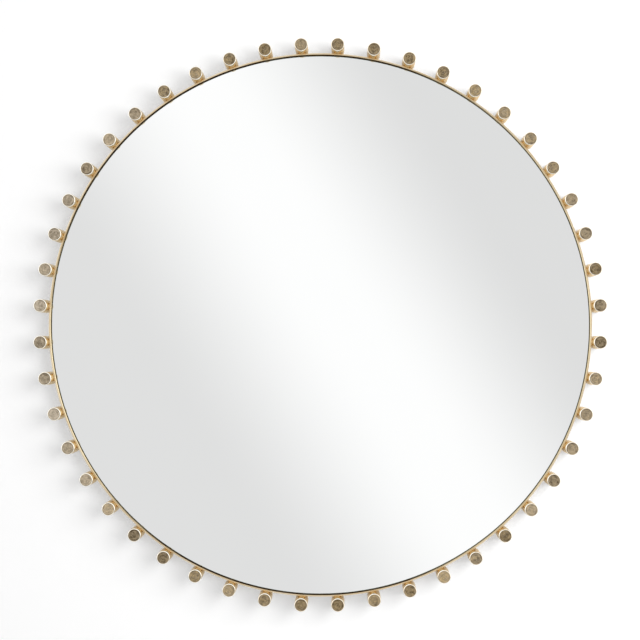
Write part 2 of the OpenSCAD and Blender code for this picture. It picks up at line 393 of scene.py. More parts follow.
# Painted highlight: a pale strip on the peg just in front of the hoop.
highlight_strip = between(tree, from_hoop, 0.8 * MM, 2.6 * MM, 1.0, 0.0)
highlight_strip = calc(tree, "SUBTRACT", highlight_strip, beside_hoop)
wear_and_highlight = calc(tree, "MULTIPLY", wear_and_highlight, calc(tree, "MULTIPLY_ADD", painted_pale, 0.4, 0.6))
wear_and_highlight = calc(tree, "MAXIMUM", wear_and_highlight, highlight_strip)
gold = tint(tree, crevice_shade, gold, CREVICE_SHADE)
colour = calm(tree, tint(tree, wear_and_highlight, gold, PALE_WEAR_AND_LIGHT))
satin = calc(tree, "MULTIPLY_ADD", wear_and_highlight, -0.09, between(tree, turned, 0.0, 1.0, 0.14, 0.23))
wire_up(tree, shader, colour, satin, relief(tree, turned, 0.004 * MM))
print("finish", peg_gold.name)

# %% [markdown]
# The front face of each peg is the part that the eye finds first: matt brown over turned rings, with
# a darker rim, no two alike. A picture of one face would show itself as a copy, so the rings, patches
# and grains are noise, weighed against each other. Three more of the peg's own numbers, its tone, its
# warmth and its seed, make every face a different one.

# %% Finish: brown turned faces of the pegs
FACE_DARK = (0.115, 0.083, 0.047, 1.0)
FACE_LIGHT = (0.64, 0.55, 0.425, 1.0)
WARM_DARK = (0.105, 0.071, 0.031, 1.0)
WARM_LIGHT = (0.62, 0.472, 0.268, 1.0)
RINGS_SHOW, PATCHES_SHOW, GRAINS_SHOW = 0.55, 0.40, 0.30
RIM_DARKER = 0.40
MIDDLE_TONE = 0.58
face_r = peg_r - peg_edge
dish_r = face_r - peg_rim

peg_face, tree, shader, places = new_finish("brown turned peg faces", Metallic=1.0)
seed = own_number(tree, "seed")
at = use(tree, bar_place, Share=places["Generated"], Width=2 * peg_r, Length=peg_len)
rings = use(
    tree, tool_lines, Across=at["Out"], Along=at["Around"], Pitch=1.6 * MM, Reach=20 * MM, Seed=seed
)["Mask"]
patches = spots(tree, cloud, places["Object"], 3.5 * MM, seed)
grains = spots(tree, speck, places["Object"], 0.6 * MM, seed)
rim_shade = between(tree, at["Out"], face_r - 1.4 * MM, face_r - 0.3 * MM, 0.0, RIM_DARKER)
tone = calc(tree, "MULTIPLY_ADD", rings, RINGS_SHOW, own_number(tree, "tone"))
tone = calc(tree, "MULTIPLY_ADD", patches, PATCHES_SHOW, tone)
tone = calc(tree, "MULTIPLY_ADD", grains, GRAINS_SHOW, tone)
tone = calc(tree, "SUBTRACT", tone, calc(tree, "ADD", rim_shade, MIDDLE_TONE))
plain = tint(tree, tone, FACE_DARK, FACE_LIGHT)
warm = calc(tree, "MULTIPLY", own_number(tree, "warmth"), calc(tree, "ADD", patches, 0.5))
coat = tint(tree, warm, plain, tint(tree, tone, WARM_DARK, WARM_LIGHT))
worn = use(
    tree, edge_wear, Place=places["Object"], From_Edge=calc(tree, "SUBTRACT", face_r, at["Out"]),
    Width=0.35 * MM, Grain=0.7 * MM,
)["Mask"]
colour = calm(tree, tint(tree, worn, coat, GOLD_DEEP))
dull = calc(tree, "MULTIPLY_ADD", worn, -0.18, calc(tree, "MULTIPLY_ADD", grains, 0.10, 0.36))
height = calc(tree, "MULTIPLY_ADD", rings, 0.7, calc(tree, "MULTIPLY", grains, 0.3))
wire_up(tree, shader, colour, dull, relief(tree, height, 0.025 * MM))
print("finish", peg_face.name)

# %% [markdown]
# Brazing metal is a bronze that flows between peg and hoop and sets as a smooth, redder fillet. The
# plating takes badly on it, and flux that wasn't quite cleaned off leaves brown specks. Those come
# where a cloud and a speck are both strong, so that they lie in groups, as real ones do.

# %% Finish: brazing metal
BRONZE = (0.56, 0.33, 0.12, 1.0)
FLUX_BROWN = (0.24, 0.12, 0.04, 1.0)

braze_metal, tree, shader, places = new_finish("brazing metal", Metallic=1.0, Specular_Tint=GOLD_GLANCING)
patches = spots(tree, cloud, places["Object"], 4 * MM)
grains = spots(tree, speck, places["Object"], 0.5 * MM)
stain = between(tree, calc(tree, "MULTIPLY", patches, grains), 0.35, 0.9, 0.0, 0.8)
colour = calm(tree, tint(tree, stain, BRONZE, FLUX_BROWN))
satin = between(tree, grains, 0.0, 1.0, 0.2, 0.34)
wire_up(tree, shader, colour, satin, relief(tree, grains, 0.02 * MM))
print("finish", braze_metal.name)

# %% [markdown]
# A mirror is silver behind clear glass. It could be built so, as glass with a metal sheet inside, but
# that takes much longer to render and adds a faint second image that isn't seen from the front. The
# eye sees one clean reflection with a trace of the glass's green, so the face is a smooth metal of
# that tint. Its edge is glass ground by a wheel, a cloudy sea green, and its back is the grey paint
# that protects the silver.

# %% Finishes: silvered face, ground edge and backing paint
SILVER_CLEAN = (0.955, 0.960, 0.958, 1.0)
SILVER_FILMED = (0.95, 0.957, 0.954, 1.0)
SEA_GREEN_DEEP, SEA_GREEN_PALE = (0.40, 0.50, 0.46, 1.0), (0.60, 0.68, 0.64, 1.0)
PAINT_GREY_DARK, PAINT_GREY_LIGHT = (0.23, 0.25, 0.26, 1.0), (0.30, 0.32, 0.33, 1.0)

silver, tree, shader, places = new_finish("silvered glass", Metallic=1.0)
film = spots(tree, cloud, places["Object"], 120 * MM)
colour = tint(tree, film, SILVER_CLEAN, SILVER_FILMED)
wire_up(tree, shader, colour, between(tree, film, 0.0, 1.0, 0.0, 0.008))

ground_edge, tree, shader, places = new_finish("ground glass edge", IOR=1.52)
wheel = spots(tree, speck, places["Object"], 0.4 * MM)
colour = tint(tree, wheel, SEA_GREEN_DEEP, SEA_GREEN_PALE)
dull = between(tree, wheel, 0.0, 1.0, 0.35, 0.6)
wire_up(tree, shader, colour, dull, relief(tree, wheel, 0.01 * MM))

backing_paint, tree, shader, places = new_finish("grey backing paint")
sprayed = spots(tree, speck, places["Object"], 1.2 * MM)
colour = tint(tree, sprayed, PAINT_GREY_DARK, PAINT_GREY_LIGHT)
dull = between(tree, sprayed, 0.0, 1.0, 0.4, 0.55)
wire_up(tree, shader, colour, dull, relief(tree, sprayed, 0.03 * MM))
print("finishes", silver.name, ground_edge.name, backing_paint.name)

# %% [markdown]
# The backing board is wood fibre board, sprayed matt black. Fibres that stood up under the paint make
# a short random nap. They could be thousands of hairs, but at this size a bump does the same. The
# edge wears first, and bare brown board shows there.

# %% Finish: painted fibre board
BLACK_PAINT, THIN_BLACK_PAINT = (0.022, 0.021, 0.020, 1.0), (0.034, 0.032, 0.030, 1.0)
RAISED_FIBRE = (0.075, 0.066, 0.056, 1.0)
BARE_BOARD = (0.14, 0.09, 0.05, 1.0)
board_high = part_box("backing_board")[1]
board_r = board_high.x
board_back = -board_high.y

board_paint, tree, shader, places = new_finish("black painted fibre board")
at = use(tree, hoop_place, Place=places["Object"])
squeezed = put(tree, "Mapping", {"Vector": places["Object"], "Scale": (1.0, 1.0, 0.35)}).outputs[0]
fibres = spots(tree, speck, squeezed, 0.7 * MM)
roller = spots(tree, cloud, places["Object"], 60 * MM)
bare = use(
    tree, edge_wear, Place=places["Object"], From_Edge=calc(tree, "SUBTRACT", board_r, at["Out"]),
    Width=1.2 * MM, Grain=3 * MM,
)["Mask"]
painted = tint(tree, roller, BLACK_PAINT, THIN_BLACK_PAINT)
flecked = tint(tree, calc(tree, "MULTIPLY", fibres, 0.35), painted, RAISED_FIBRE)
colour = tint(tree, calc(tree, "MULTIPLY", bare, 0.7), flecked, BARE_BOARD)
matt = between(tree, fibres, 0.0, 1.0, 0.48, 0.66)
wire_up(tree, shader, colour, matt, relief(tree, fibres, 0.08 * MM, 0.8))
print("finish", board_paint.name, "board radius", round(board_r, 4))

# %% [markdown]
# The tabs were welded in before plating, so they carry the same gold as the hoop, but dull, over mill
# scale. The straps, D-rings and screws are bought in and bright zinc plated, a cooler white metal
# with a slight blue cloud. The tape is closed cell foam, and a Voronoi texture is made of cells
# already. One short block for each is enough, since none of them is seen from the front.

# %% Finishes: tab steel, zinc and foam
DULL_GOLD, GOLD_OVER_SCALE = (0.55, 0.42, 0.24, 1.0), (0.33, 0.24, 0.135, 1.0)
ZINC_WHITE, ZINC_BLUE = (0.74, 0.745, 0.74, 1.0), (0.60, 0.635, 0.67, 1.0)
FOAM_BLACK, FOAM_GREY = (0.02, 0.02, 0.02, 1.0), (0.07, 0.07, 0.07, 1.0)
CELL_SIZE = 0.4 * MM

tab_steel, tree, shader, places = new_finish("dull plated tabs", Metallic=1.0)
scale_marks = spots(tree, cloud, places["Object"], 6 * MM)
grains = spots(tree, speck, places["Object"], 0.5 * MM, 2.0)
colour = tint(tree, scale_marks, DULL_GOLD, GOLD_OVER_SCALE)
dull = calc(tree, "MULTIPLY_ADD", grains, 0.14, 0.34)
height = calc(tree, "ADD", scale_marks, grains)
wire_up(tree, shader, colour, dull, relief(tree, height, 0.02 * MM))

zinc, tree, shader, places = new_finish("bright zinc plating", Metallic=1.0)
blue = spots(tree, cloud, places["Object"], 4 * MM, 7.0)
grains = spots(tree, speck, places["Object"], 0.35 * MM, 7.0)
satin = calc(tree, "MULTIPLY_ADD", grains, 0.12, 0.2)
wire_up(tree, shader, tint(tree, blue, ZINC_WHITE, ZINC_BLUE), satin, relief(tree, grains, 0.008 * MM))

foam, tree, shader, places = new_finish("black foam tape")
per_cell = {"Vector": places["Object"], "Scale": 1 / CELL_SIZE}
cells = put(tree, "TexVoronoi", per_cell).outputs["Distance"]
matt = between(tree, cells, 0.0, 0.8, 0.7, 0.95)
wire_up(tree, shader, tint(tree, cells, FOAM_BLACK, FOAM_GREY), matt, relief(tree, cells, 0.1 * MM))
print("finishes", tab_steel.name, zinc.name, foam.name)

# %% [markdown]
# Turned pieces come next. On a lathe the tool traces half a section while the work spins, and bmesh
# has the same tool: draw half the outline as a chain of edges, then spin it round the axis. A Screw
# modifier could do it too, but a finished mesh can be copied, and its faces can be told apart. The
# helper takes the outline as (out, depth) pairs, closed for a hoop and open for a solid bar.

# %% A lathe
def arc(out, depth, radius, first, last, steps=6):
    """Points of an arc round (out, depth), with its angles in degrees."""
    turns = [math.radians(first + (last - first) * i / steps) for i in range(steps + 1)]
    return [(out + radius * math.cos(t), depth + radius * math.sin(t)) for t in turns]


def lathe(name, outline, steps, closed=False):
    """Spins an outline of (out, depth) round the Y axis, with depth along -Y."""
    work = bmesh.new()
    chain = [work.verts.new((out, -depth, 0)) for out, depth in outline]
    pairs = list(zip(chain, chain[1:]))
    if closed:
        pairs.append((chain[-1], chain[0]))
    edges = [work.edges.new(pair) for pair in pairs]
    bmesh.ops.spin(
        work, geom=chain + edges, cent=(0, 0, 0), axis=(0, 1, 0), dvec=(0, 0, 0),
        angle=2 * math.pi, steps=steps, use_merge=True, use_duplicate=False,
    )
    bmesh.ops.remove_doubles(work, verts=work.verts, dist=1e-7)
    bmesh.ops.recalc_face_normals(work, faces=work.faces)
    return to_mesh(name, work)


print("lathe ready")

# %% [markdown]
# Two more helpers finish each piece. Metal catches the light evenly along a round face and breaks it
# at an edge, so every face is shaded smooth, and an edge where two faces meet at more than 35 degrees
# is marked sharp. Then the piece is shown, tied to the body that it moves with, and the nodes of the
# frame that it takes the place of are hidden.

# %% Make a mesh and add a piece
SHARP = math.radians(35)


def to_mesh(name, work):
    """Turns bmesh work into a mesh, smooth except at its sharp edges."""
    for face in work.faces:
        face.smooth = True
    for edge in work.edges:
        edge.smooth = len(edge.link_faces) == 2 and edge.calc_face_angle(0) < SHARP
    mesh = bpy.data.meshes.new(name)
    work.to_mesh(mesh)
    work.free()
    return mesh


def add_piece(name, data, finishes, body, slot, *nodes):
    """Shows a mesh or curve as a piece that stands for CAD nodes and moves with a body."""
    piece = bpy.data.objects.new(name, data)
    bpy.context.scene.collection.objects.link(piece)
    for finish in finishes:
        data.materials.append(finish)
    if piece.type == "MESH":
        keep_flats = piece.modifiers.new("keep_flats_flat", "WEIGHTED_NORMAL")
        keep_flats.keep_sharp = True
    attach(piece, body)
    if nodes:
        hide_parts(*nodes)
    return piece


print("edges sharper than", round(math.degrees(SHARP)), "degrees stay sharp")

# %% [markdown]
# The hoop is flat bar, 3 mm by 30 mm, rolled on edge, with its four edges eased, most of all the one
# in front beside the glass. A flat strip given a thickness could make it, but the edges are what
# shows, so the bar's whole section is drawn as a closed outline and spun. 720 steps keep the long
# curve smooth. The faces that look at the mirror's centre get the brown finish.

# %% The hoop
HOOP_STEPS = 720
hoop_outline = (
    arc(ring_r - ring_edge, ring_depth - ring_edge, ring_edge, 0, 90)
    + arc(ring_in + ring_inner_edge, ring_depth - ring_inner_edge, ring_inner_edge, 90, 180, 12)
    + arc(ring_in + ring_edge, ring_edge, ring_edge, 180, 270)
    + arc(ring_r - ring_edge, ring_edge, ring_edge, 270, 360)
)
INSIDE_TILT = math.radians(15)
hoop_mesh = lathe("hoop", hoop_outline, HOOP_STEPS, closed=True)
for face in hoop_mesh.polygons:
    outward = Vector((face.center.x, 0, face.center.z)).normalized()
    face.material_index = int(face.normal.dot(outward) < -math.sin(INSIDE_TILT))
add_piece("hoop", hoop_mesh, [hoop_gold, hoop_brown], "mirror", "ring_metal", "frame_ring")
print("hoop faces", len(hoop_mesh.polygons))

# %% [markdown]
# A peg is 20 mm bar, cut off, its ends rounded and polished, and its front face turned to a shallow
# dish with a flat rim. The tool left rings in the dish, each about 0.02 mm deep and 1.5 mm apart. A
# bump could fake them, but they are real waves in the outline, because their slopes are what shows.
# In the middle, where the tool stopped, it left a small pip.

# %% The outline of a peg
RING_PITCH = 1.5 * MM
RING_HEIGHT = 0.018 * MM
PIP_R, PIP_HEIGHT = 0.45 * MM, 0.06 * MM
LIP_WIDE, LIP_LOW = 0.08 * MM, 0.03 * MM
CORNER_WIDE, CORNER_HIGH = 0.05 * MM, 0.04 * MM
DISH_POINTS = 44


def dish_depth(out):
    """Depth of the dish's floor at a distance from the axis, with its turned rings."""
    wave = math.cos(2 * math.pi * out / RING_PITCH) * min(1.0, out / RING_PITCH)
    pip = PIP_HEIGHT * math.exp(-((out / PIP_R) ** 2))
    return peg_len - peg_dish + RING_HEIGHT * wave + pip


floor_r = dish_r - peg_dish
peg_outline = [(0.0, 0.0)]
peg_outline += arc(face_r, peg_edge, peg_edge, -90, 0, 8)
peg_outline += arc(face_r, peg_len - peg_edge, peg_edge, 0, 90, 8)
peg_outline += [(dish_r + LIP_WIDE, peg_len), (dish_r, peg_len - LIP_LOW)]
peg_outline += [(floor_r + CORNER_WIDE, peg_len - peg_dish + CORNER_HIGH)]
for i in range(DISH_POINTS + 1):
    out = floor_r * (1 - i / DISH_POINTS)
    peg_outline.append((out, dish_depth(out)))
print("peg outline points", len(peg_outline), "dish radius", round(dish_r, 5))

# %% [markdown]
# One peg is turned, and each of the 48 gets a copy of its mesh at the place of its node. An Array
# modifier would be shorter, but then all pegs would be one piece, with one tone.
#
# The numbers that the materials read come from a seeded random source, so that they are the same on
# every run. The pegs on the left are painted a shade lighter and greyer, and those at the top and the
# foot browner: painted light, for how the light falls on each side.

# %% The 48 pegs
PEG_STEPS = 64
TONE, TONE_SPREAD = 0.42, 0.15
WARMTH, WARMTH_SPREAD = 0.52, 0.14
PALE_RIGHT = 0.35
chance = random.Random(48)
turned_peg = lathe("peg", peg_outline, PEG_STEPS)
for face in turned_peg.polygons:
    out = math.hypot(face.center.x, face.center.z)
    is_face = -face.center.y > peg_len - peg_edge and out < face_r and face.normal.y < -0.3
    face.material_index = int(is_face)

peg_circle = math.hypot((peg_low.x + peg_high.x) / 2, (peg_low.z + peg_high.z) / 2)
for node in peg_nodes:
    low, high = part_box(node)
    centre = Vector(((low.x + high.x) / 2, 0, (low.z + high.z) / 2))
    mesh = turned_peg.copy()
    mesh.transform(Matrix.Translation(centre))
    peg = add_piece(node + "_turned", mesh, [peg_gold, peg_face], "mirror", "peg_metal", node)
    # Painted light: faces on the left are painted lighter and greyer, those at top and foot warmer, and
    # the gold is painted paler most on the left.
    left = max(0.0, -centre.x / peg_circle) ** 3
    upright = (centre.z / peg_circle) ** 6
    tone = chance.gauss(TONE, TONE_SPREAD) + 0.14 * left
    warmth = chance.gauss(WARMTH, WARMTH_SPREAD) - 0.45 * left + 0.35 * upright
    peg["painted_pale"] = max(-centre.x, PALE_RIGHT * centre.x) / peg_circle
    peg["tone"] = min(0.85, max(0.12, tone))
    peg["warmth"] = min(0.9, max(0.0, warmth))
    peg["seed"] = chance.uniform(0.0, 40.0)
bpy.data.meshes.remove(turned_peg)
print("pegs made", len(peg_nodes), "faces each", len(mesh.polygons))

# %% [markdown]
# Peg and hoop touch along a line, and brazing metal fills the narrow wedge on either side of it. A
# Boolean of the two could find that wedge, but it would be dead straight. Here its section is drawn,
# an hourglass between two circles with hollow ends.

# %% The section of a brazed joint
BRAZE_HALF = 6.0 * MM
BRAZE_SINK = 0.03 * MM
BRAZE_HOLLOW = 0.45
ACROSS = 8


def braze_section(half, peg_circle):
    """The hourglass as (out, along) pairs, with out measured from the peg's axis."""
    steps = [half * (2 * i / ACROSS - 1) for i in range(ACROSS + 1)]
    on_peg = [(BRAZE_SINK - math.sqrt(peg_r**2 - t**2), t) for t in steps]
    on_ring = [(math.sqrt(ring_r**2 - t**2) - peg_circle - BRAZE_SINK, t) for t in reversed(steps)]
    tall = on_peg[-1][0] - on_ring[0][0]
    hollow = [(f, BRAZE_HOLLOW * tall * math.sin(math.pi * f)) for f in (0.25, 0.5, 0.75)]
    right = [(on_peg[-1][0] - tall * f, half - dip) for f, dip in hollow]
    left = [(on_ring[-1][0] + tall * f, dip - half) for f, dip in hollow]
    return on_peg + right + on_ring + left


print("points in a section", len(braze_section(BRAZE_HALF, peg_circle)))

# %% [markdown]
# The section is repeated at stations along the hoop's depth, a little wider here and narrower there
# as the metal flowed, and drawn in at both ends. Skinning the stations with faces makes the fillet.
# All 48 are one mesh, because the brazing is one piece of work on one hoop.

# %% The brazed joints
BRAZE_ENDS = 0.5 * MM
EVEN_SHARES = [i / 14 for i in range(2, 13)]
STATIONS = [0, 0.01, 0.03, 0.07, *EVEN_SHARES, 0.93, 0.97, 0.99, 1]
braze_chance = random.Random(7)


def add_fillet(work, angle, peg_circle):
    """One peg's brazed joint, drawn at stations from the wall side to the front."""
    run = ring_depth - 2 * BRAZE_ENDS
    phases = [braze_chance.uniform(0, 2 * math.pi) for _ in range(2)]
    rows = []
    for share in STATIONS:
        depth = BRAZE_ENDS + run * share
        wander = 0.07 * math.sin(9 * share + phases[0]) + 0.05 * math.sin(23 * share + phases[1])
        drawn_in = 1 - 0.35 * max(0.0, 1 - min(share, 1 - share) / 0.06) ** 2
        row = []
        for out, along in braze_section(BRAZE_HALF * (1 + wander) * drawn_in, peg_circle):
            x = (peg_circle + out) * math.cos(angle) - along * math.sin(angle)
            z = (peg_circle + out) * math.sin(angle) + along * math.cos(angle)
            row.append(work.verts.new((x, -depth, z)))
        rows.append(row)
    for low, high in zip(rows, rows[1:]):
        for i in range(len(low)):
            work.faces.new((low[i - 1], low[i], high[i], high[i - 1]))
    work.faces.new(rows[0])
    work.faces.new(reversed(rows[-1]))


fillets = bmesh.new()
for node in peg_nodes:
    low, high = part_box(node)
    centre_x, centre_z = (low.x + high.x) / 2, (low.z + high.z) / 2
    add_fillet(fillets, math.atan2(centre_z, centre_x), math.hypot(centre_x, centre_z))
bmesh.ops.recalc_face_normals(fillets, faces=fillets.faces)
braze_mesh = to_mesh("brazed_joints", fillets)
add_piece("brazed_joints", braze_mesh, [braze_metal], "mirror", "ring_metal")
print("brazed joints", len(peg_nodes), "faces", len(braze_mesh.polygons))

# %% [markdown]
# The pane is a flat disc. A cylinder primitive is nearly right, but cut glass is never left sharp: a
# small ground bevel, the arris, goes round both edges. So the pane is turned as well, from an outline
# that has it. The front is silvered glass to the eye, the rim and the arris are ground, and the back
# is painted.

# %% The pane
PANE_STEPS = 720
glass_low, glass_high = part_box("mirror_glass")
glass_r = glass_high.x
glass_front, glass_back = -glass_low.y, -glass_high.y
glass_arris = 0.5 * MM
pane_outline = [
    (0.0, glass_back),
    (glass_r - glass_arris, glass_back),
    (glass_r, glass_back + glass_arris),
    (glass_r, glass_front - glass_arris),
    (glass_r - glass_arris, glass_front),
    (0.0, glass_front),
]
pane_mesh = lathe("pane", pane_outline, PANE_STEPS)
SILVERED, GROUND, PAINTED = 0, 1, 2
for face in pane_mesh.polygons:
    face.material_index = SILVERED if face.normal.y < -0.9 else GROUND
    if face.normal.y > 0.9:
        face.material_index = PAINTED
pane_finishes = [silver, ground_edge, backing_paint]
add_piece("mirror_pane", pane_mesh, pane_finishes, "mirror", "mirror", "mirror_glass")
print("pane radius", round(glass_r, 4), "front", glass_front, "back", glass_back)

# %% [markdown]
# The board, the tape and the tabs have the right shape already, with their real screw holes. They
# could be made again, but the frame's own meshes serve as they are and only get a finish. A Weld
# and a narrow Bevel modifier ease their edges, which then catch the light as real edges do, without
# touching the mesh itself.

# %% Dress the board, the tape and the tabs
def dress(node, finish, ease):
    """Gives a CAD node a finish and eased edges."""
    piece = frame["nodes"][node]
    piece.data.materials.clear()
    piece.data.materials.append(finish)
    piece.modifiers.new("weld", "WELD").merge_threshold = 1e-6
    bevel = piece.modifiers.new("ease", "BEVEL")
    bevel.width = ease
    bevel.segments = 2
    bevel.limit_method = "ANGLE"
    bevel.angle_limit = SHARP
    piece.modifiers.new("keep_flats_flat", "WEIGHTED_NORMAL")
    return piece


dress("backing_board", board_paint, 0.4 * MM)
dress("glass_tape", foam, 0.1 * MM)
dress("frame_tabs", tab_steel, 0.3 * MM)
print("dressed the board, the tape and the tabs")

# %% [markdown]
# Each tab is welded to the hoop by one short run behind the board. A weld bead is a row of ripples,
# each laid over the last. Single balls in a row would look like a string of beads, so it is swept, as
# a round section whose radius swells once per ripple. The caller gives the path and, at each of its
# points, two directions across it.

# %% Sweep a weld bead
RIPPLE = 1.1 * MM
BEAD_SIDES = 14
PER_RIPPLE = 5


def add_bead(work, path, across, radius):
    """Sweeps a rippled bead; path gives points, and across gives two directions at each."""
    rows = []
    for i, (point, (first, second)) in enumerate(zip(path, across)):
        along = i / (len(path) - 1)
        ends = min(1.0, 0.35 + 6 * min(along, 1 - along))
        ripple = (i % PER_RIPPLE) / PER_RIPPLE
        swell = radius * ends * (0.86 + 0.14 * math.sin(math.pi * ripple))
        row = []
        for k in range(BEAD_SIDES):
            turn = 2 * math.pi * k / BEAD_SIDES
            offset = first * math.cos(turn) + second * math.sin(turn)
            row.append(work.verts.new(point + offset * swell))
        rows.append(row)
    for low, high in zip(rows, rows[1:]):
        for k in range(BEAD_SIDES):
            work.faces.new((low[k - 1], low[k], high[k], high[k - 1]))
    work.faces.new(rows[0])
    work.faces.new(reversed(rows[-1]))


print("bead sweep ready, a ripple every", RIPPLE, "m")

# %% [markdown]
# The eight beads follow the hoop's inner face, so their path is an arc. on_hoop gives a point by its
# angle, its distance out and its depth from the wall, which saves writing sines and cosines again.

# %% Weld the tabs
def on_hoop(angle, out, depth):
    return Vector((out * math.cos(angle), -depth, out * math.sin(angle)))


TAB_COUNT = 8
BEAD_RADIUS, BEAD_RUN = 1.7 * MM, 22 * MM
OFF_HOOP, BEHIND_TAB = 0.6 * MM, 0.3 * MM
tab_back = -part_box("frame_tabs")[1].y
bead_steps = round(BEAD_RUN / RIPPLE) * PER_RIPPLE
back = Vector((0, 1, 0))
beads = bmesh.new()
tab_angles = [2 * math.pi * (k + 0.5) / TAB_COUNT for k in range(TAB_COUNT)]
for middle in tab_angles:
    angles = [middle + BEAD_RUN / ring_in * (i / bead_steps - 0.5) for i in range(bead_steps + 1)]
    path = [on_hoop(a, ring_in - OFF_HOOP, tab_back - BEHIND_TAB) for a in angles]
    add_bead(beads, path, [(on_hoop(a, 1, 0), back) for a in angles], BEAD_RADIUS)
print("tab beads", TAB_COUNT, "stations each", bead_steps + 1)

# %% [markdown]
# The ends of the rolled bar meet at the foot of the mirror. Outside and in front that joint is ground
# flush and can't be found under the plating. Inside, behind the board, its bead was left as it was,
# so it needs no more than one more straight path for the same sweep.

# %% The hoop's own seam
seam_angle = -math.pi / 2
SEAM_RADIUS, SEAM_CLEAR, SEAM_OFF_HOOP = 1.5 * MM, 1.2 * MM, 0.2 * MM
seam_from, seam_to = SEAM_CLEAR, board_back - SEAM_CLEAR
seam_steps = round((seam_to - seam_from) / RIPPLE) * PER_RIPPLE
depths = [seam_from + (seam_to - seam_from) * i / seam_steps for i in range(seam_steps + 1)]
path = [on_hoop(seam_angle, ring_in - SEAM_OFF_HOOP, d) for d in depths]
across = (on_hoop(seam_angle, 1, 0), on_hoop(seam_angle + math.pi / 2, 1, 0))
add_bead(beads, path, [across] * len(path), SEAM_RADIUS)
bmesh.ops.recalc_face_normals(beads, faces=beads.faces)
bead_mesh = to_mesh("weld_beads", beads)
add_piece("weld_beads", bead_mesh, [tab_steel], "mirror", "tab_steel")
print("bead faces", len(bead_mesh.polygons))

# %% [markdown]
# All twelve screws are alike: a pan head with a cross recess on a pointed, threaded shank. The
# blank is turned on the lathe. A thread could be swept along a helix and joined on, but real ones are
# rolled into the blank: each point of the shank moves in or out by where it lies on the helix.

# %% A screw blank with its thread
HEAD_R, HEAD_H, HEAD_RIM, HEAD_EDGE = 3.5 * MM, 2.2 * MM, 0.9 * MM, 0.25 * MM
SHANK_R, CORE_R, SHANK_LEN, TIP = 1.75 * MM, 1.25 * MM, 8 * MM, 2.4 * MM
THREAD_PITCH, THREAD_FROM, THREAD_ROWS = 1.4 * MM, 0.3 * MM, 56
SCREW_STEPS, DOME_STEPS = 48, 12

screw_outline = [(0.0, SHANK_LEN)]
for i in range(1, THREAD_ROWS + 1):
    depth = SHANK_LEN * (1 - i / THREAD_ROWS)
    screw_outline.append((SHANK_R * min(1.0, 0.12 + (SHANK_LEN - depth) / TIP), depth))
screw_outline += arc(HEAD_R - HEAD_EDGE, -HEAD_EDGE, HEAD_EDGE, 90, 0, 4)
dome = HEAD_H - HEAD_RIM
for i in range(DOME_STEPS + 1):
    turn = math.radians(90 * i / DOME_STEPS)
    screw_outline.append((HEAD_R * math.cos(turn), -HEAD_RIM - dome * math.sin(turn)))
screw_mesh = lathe("screw", screw_outline, SCREW_STEPS)
for v in screw_mesh.vertices:
    depth, out = -v.co.y, math.hypot(v.co.x, v.co.z)
    if depth > THREAD_FROM and out > 1e-6:
        turn = math.atan2(v.co.z, v.co.x) / (2 * math.pi)
        phase = (depth / THREAD_PITCH - turn) % 1.0
        crest = max(0.0, 1 - abs(phase - 0.5) / 0.3)
        share = (CORE_R + (SHANK_R - CORE_R) * crest) / SHANK_R
        v.co.x *= share
        v.co.z *= share
print("screw blank faces", len(screw_mesh.polygons))

# %% [markdown]
# The cross recess is punched. Its walls could be modelled into the head one by one, but a cut does
# what the punch did. A Boolean modifier takes away a cross that tapers as it goes in, and is then
# applied, so that one finished mesh can be copied to all twelve places, each turned as the driver
# happened to leave it.

# %% Punch the cross
ABOVE_HEAD, CROSS_DEPTH = 0.4 * MM, 1.5 * MM
WIDE_ARM, WIDE_HALF = 2.05 * MM, 0.56 * MM
DEEP_ARM, DEEP_HALF = 0.8 * MM, 0.26 * MM


def cross_punch():
    """A tapered cross whose wide end stands above the head."""
    work = bmesh.new()
    loops = []
    mouth = (-HEAD_H - ABOVE_HEAD, WIDE_ARM, WIDE_HALF)
    bottom = (-HEAD_H + CROSS_DEPTH, DEEP_ARM, DEEP_HALF)
    for depth, arm, half in (mouth, bottom):
        corners = []
        arm_outline = ((arm, half), (arm, -half), (half, -half))
        for k in range(4):
            quarter = Matrix.Rotation(math.radians(90 * k), 3, "Y")
            corners += [quarter @ Vector((x, -depth, z)) for x, z in arm_outline]
        loops.append([work.verts.new(c) for c in corners])
    for i in range(12):
        work.faces.new((loops[0][i - 1], loops[0][i], loops[1][i], loops[1][i - 1]))
    work.faces.new(loops[0])
    work.faces.new(reversed(loops[1]))
    bmesh.ops.recalc_face_normals(work, faces=work.faces)
    mesh = bpy.data.meshes.new("cross_punch")
    work.to_mesh(mesh)
    work.free()
    return mesh


def punched(blank, punch):
    """The blank's mesh with the punch cut away."""
    objects = [bpy.data.objects.new(m.name, m) for m in (blank, punch)]
    for made in objects:
        bpy.context.scene.collection.objects.link(made)
    cut = objects[0].modifiers.new("cut", "BOOLEAN")
    cut.operation = "DIFFERENCE"
    cut.solver = "EXACT"
    cut.object = objects[1]
    graph = bpy.context.evaluated_depsgraph_get()
    result = bpy.data.meshes.new_from_object(objects[0].evaluated_get(graph))
    for made in objects:
        bpy.data.objects.remove(made)
    return result


screw_mesh = punched(screw_mesh, cross_punch())
print("screw faces after the punch", len(screw_mesh.polygons))

# %% [markdown]
# The screws of one kind are one piece, as in the frame, so their meshes are joined. Each screw's axis
# is the middle of a round hole that the frame already has, worked out from the same sizes.

